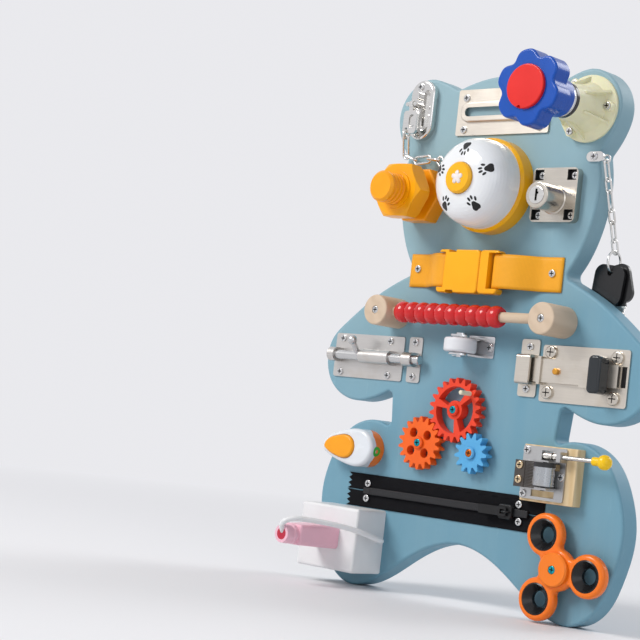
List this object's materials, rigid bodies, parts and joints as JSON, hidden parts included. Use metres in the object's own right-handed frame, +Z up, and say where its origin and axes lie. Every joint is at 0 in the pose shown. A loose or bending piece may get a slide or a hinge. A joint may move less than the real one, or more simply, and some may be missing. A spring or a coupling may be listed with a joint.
{
  "type": "wooden busy board",
  "caption": "Upright bear-shaped wooden board for toddlers, with locks, chain, gears, beads, zipper, bell, tap knob and spinner mounted on its front.",
  "frame": {"origin": "on the floor under the middle of the whole object's bounding box", "axes": "x to the right along the board's front, y from front to back, z up"},
  "size_m": [0.301, 0.1146, 0.39],
  "materials": {
    "board": "painted, soft grain",
    "ear_flange": "cream, slightly translucent",
    "tap_collar": "polished",
    "tap_knob": "royal blue",
    "tap_cap": "red",
    "track_plate": "satin nickel",
    "chain_plate": "polished",
    "door_chain": "nickel",
    "toy_bolt": "amber orange",
    "nut_washer": "amber orange",
    "toy_nut": "amber orange",
    "bell_base": "amber",
    "bell_dome": "white with black paw prints",
    "bell_button": "amber",
    "bell_spring": "plain wire",
    "lock_body": "nickel",
    "lock_plug": "polished",
    "key_hook": "nickel",
    "key_chain": "nickel",
    "keys": "black heads, steel blades",
    "strap_left": "amber webbing",
    "strap_right": "amber webbing",
    "buckle_socket": "amber",
    "buckle_tongue": "amber",
    "abacus_posts": "pale beech",
    "abacus_dowel": "pale beech",
    "beads": "glossy red lacquer",
    "rod_bolt_plate": "zinc",
    "rod_bolt": "zinc",
    "rod_keeper": "zinc",
    "roller_bracket": "zinc",
    "roller_wheel": "white",
    "flat_bolt_plate": "nickel",
    "flat_bolt_slide": "nickel with a brass pin",
    "flat_bolt_knob": "black",
    "flat_keeper": "nickel",
    "gear_red": "coral red with a cream peg",
    "gear_orange": "orange",
    "gear_blue": "sky blue",
    "gear_axles": "teal and orange caps",
    "clicker_shell": "pale blue",
    "clicker_button": "amber",
    "zipper_tape": "black twill",
    "zipper_teeth": "black nylon",
    "zipper_slider": "black",
    "music_block": "pine",
    "music_frame": "cast zinc",
    "music_comb": "dark steel",
    "music_drum": "steel",
    "crank_shaft": "steel",
    "crank_knob": "yellow",
    "spinner_body": "orange",
    "spinner_rings": "black",
    "spinner_post": "orange",
    "socket_box": "white",
    "plug": "pink",
    "plug_cord": "white",
    "small_screws": "zinc",
    "pan_screws": "nickel",
    "long_screws": "zinc"
  },
  "bodies": {
    "board_with_fittings": {"board": "board", "ear_flange": "ear_flange", "tap_collar": "tap_collar", "track_plate": "track_plate", "chain_plate": "chain_plate", "toy_bolt": "toy_bolt", "bell_base": "bell_base", "bell_dome": "bell_dome", "bell_spring": "bell_spring", "lock_body": "lock_body", "key_hook": "key_hook", "strap_left": "strap_left", "strap_right": "strap_right", "buckle_socket": "buckle_socket", "abacus_posts": "abacus_posts", "abacus_dowel": "abacus_dowel", "rod_bolt_plate": "rod_bolt_plate", "rod_keeper": "rod_keeper", "roller_bracket": "roller_bracket", "flat_bolt_plate": "flat_bolt_plate", "flat_keeper": "flat_keeper", "gear_axles": "gear_axles", "clicker_shell": "clicker_shell", "zipper_tape": "zipper_tape", "zipper_teeth": "zipper_teeth", "music_block": "music_block", "music_frame": "music_frame", "music_comb": "music_comb", "spinner_post": "spinner_post", "socket_box": "socket_box", "plug_cord": "plug_cord", "small_screws": "small_screws", "pan_screws": "pan_screws", "long_screws": "long_screws"},
    "tap_handle": {"tap_knob": "tap_knob", "tap_cap": "tap_cap"},
    "hanging_chain": {"door_chain": "door_chain"},
    "washer": {"nut_washer": "nut_washer"},
    "nut": {"toy_nut": "toy_nut"},
    "bell_push": {"bell_button": "bell_button"},
    "lock_core": {"lock_plug": "lock_plug"},
    "key_leash": {"key_chain": "key_chain"},
    "key_pair": {"keys": "keys"},
    "buckle_end": {"buckle_tongue": "buckle_tongue"},
    "bead_row": {"beads": "beads"},
    "barrel_rod": {"rod_bolt": "rod_bolt"},
    "wheel": {"roller_wheel": "roller_wheel"},
    "sliding_bolt": {"flat_bolt_slide": "flat_bolt_slide", "flat_bolt_knob": "flat_bolt_knob"},
    "red_gear": {"gear_red": "gear_red"},
    "orange_gear": {"gear_orange": "gear_orange"},
    "blue_gear": {"gear_blue": "gear_blue"},
    "clicker": {"clicker_button": "clicker_button"},
    "zip_slider": {"zipper_slider": "zipper_slider"},
    "crank": {"crank_shaft": "crank_shaft", "crank_knob": "crank_knob"},
    "drum": {"music_drum": "music_drum"},
    "spinner": {"spinner_body": "spinner_body", "spinner_rings": "spinner_rings"},
    "plug": {"plug": "plug"}
  },
  "joints": [
    {"name": "tap_turn", "type": "hinge", "parent": "board_with_fittings", "child": "tap_handle", "pos_m": [0.0765, -0.02245, 0.3605], "axis": [0, -1, 0], "continuous": true},
    {"name": "door_chain_swing", "type": "hinge", "parent": "board_with_fittings", "child": "hanging_chain", "pos_m": [-0.079, 0.01505, 0.368], "axis": [-1, 0, 0], "range_deg": [0, 60]},
    {"name": "nut_travel", "type": "slide", "parent": "board_with_fittings", "child": "washer", "axis": [0, -1, 0], "range_m": [-0.0074, 0.0125]},
    {"name": "nut_turn", "type": "hinge", "parent": "washer", "child": "nut", "pos_m": [-0.065, 0.00555, 0.298], "axis": [0, -1, 0], "range_deg": [-330, 560]},
    {"name": "bell_press", "type": "slide", "parent": "board_with_fittings", "child": "bell_push", "axis": [0, 1, 0], "range_m": [0, 0.003], "stiffness_N_per_m": 300, "springref_m": -0.001, "deforming": ["bell_spring"]},
    {"name": "lock_turn", "type": "hinge", "parent": "board_with_fittings", "child": "lock_core", "pos_m": [0.058, 0.01255, 0.295], "axis": [0, -1, 0], "range_deg": [0, 90]},
    {"name": "key_leash_swing", "type": "hinge", "parent": "board_with_fittings", "child": "key_leash", "pos_m": [0.0962, 0.02635, 0.3215], "axis": [1, 0, 0], "range_deg": [0, 50]},
    {"name": "keys_swing", "type": "hinge", "parent": "key_leash", "child": "key_pair", "pos_m": [0.0956, 0.04915, 0.2474], "axis": [0, 1, 0], "range_deg": [-25, 25]},
    {"name": "buckle_pull", "type": "slide", "parent": "board_with_fittings", "child": "buckle_end", "axis": [1, 0, 0], "range_m": [0, 0.012], "deforming": ["strap_right"]},
    {"name": "beads_slide", "type": "slide", "parent": "board_with_fittings", "child": "bead_row", "axis": [1, 0, 0], "range_m": [-0.004, 0.029]},
    {"name": "rod_bolt_slide", "type": "slide", "parent": "board_with_fittings", "child": "barrel_rod", "axis": [1, 0, 0], "range_m": [-0.02, 0]},
    {"name": "wheel_roll", "type": "hinge", "parent": "board_with_fittings", "child": "wheel", "pos_m": [-0.006, 0.01395, 0.187], "axis": [0, 0, 1], "continuous": true},
    {"name": "flat_bolt_move", "type": "slide", "parent": "board_with_fittings", "child": "sliding_bolt", "axis": [1, 0, 0], "range_m": [0, 0.017]},
    {"name": "red_gear_turn", "type": "hinge", "parent": "board_with_fittings", "child": "red_gear", "pos_m": [-0.0087, 0.02205, 0.1398], "axis": [0, -1, 0], "continuous": true},
    {"name": "orange_gear_turn", "type": "hinge", "parent": "board_with_fittings", "child": "orange_gear", "pos_m": [-0.03892, 0.02205, 0.11306], "axis": [0, -1, 0], "continuous": true},
    {"name": "blue_gear_turn", "type": "hinge", "parent": "board_with_fittings", "child": "blue_gear", "pos_m": [0.01029, 0.02205, 0.10999], "axis": [0, -1, 0], "continuous": true},
    {"name": "clicker_press", "type": "slide", "parent": "board_with_fittings", "child": "clicker", "axis": [0, 1, 0], "range_m": [0, 0.0016], "stiffness_N_per_m": 400, "springref_m": -0.0005},
    {"name": "zip_move", "type": "slide", "parent": "board_with_fittings", "child": "zip_slider", "axis": [1, 0, 0], "range_m": [-0.12, 0]},
    {"name": "crank_turn", "type": "hinge", "parent": "board_with_fittings", "child": "crank", "pos_m": [0.1, 0.01255, 0.1148], "axis": [1, 0, 0], "continuous": true},
    {"name": "drum_turn", "type": "hinge", "parent": "board_with_fittings", "child": "drum", "pos_m": [0.084, 0.00895, 0.101], "axis": [0, 0, 1], "continuous": true},
    {"name": "spinner_turn", "type": "hinge", "parent": "board_with_fittings", "child": "spinner", "pos_m": [0.0968, 0.01855, 0.0382], "axis": [0, -1, 0], "continuous": true},
    {"name": "plug_pull", "type": "slide", "parent": "board_with_fittings", "child": "plug", "axis": [0, -1, 0], "range_m": [0, 0.018], "deforming": ["plug_cord"]}
  ],
  "couplings": [
    {"joint": "nut_travel", "follows": "nut_turn", "m_per_rad": 0.0012732},
    {"joint": "orange_gear_turn", "follows": "red_gear_turn", "ratio": -1.2222},
    {"joint": "blue_gear_turn", "follows": "red_gear_turn", "ratio": -1.6923},
    {"joint": "drum_turn", "follows": "crank_turn", "ratio": 0.05}
  ]
}
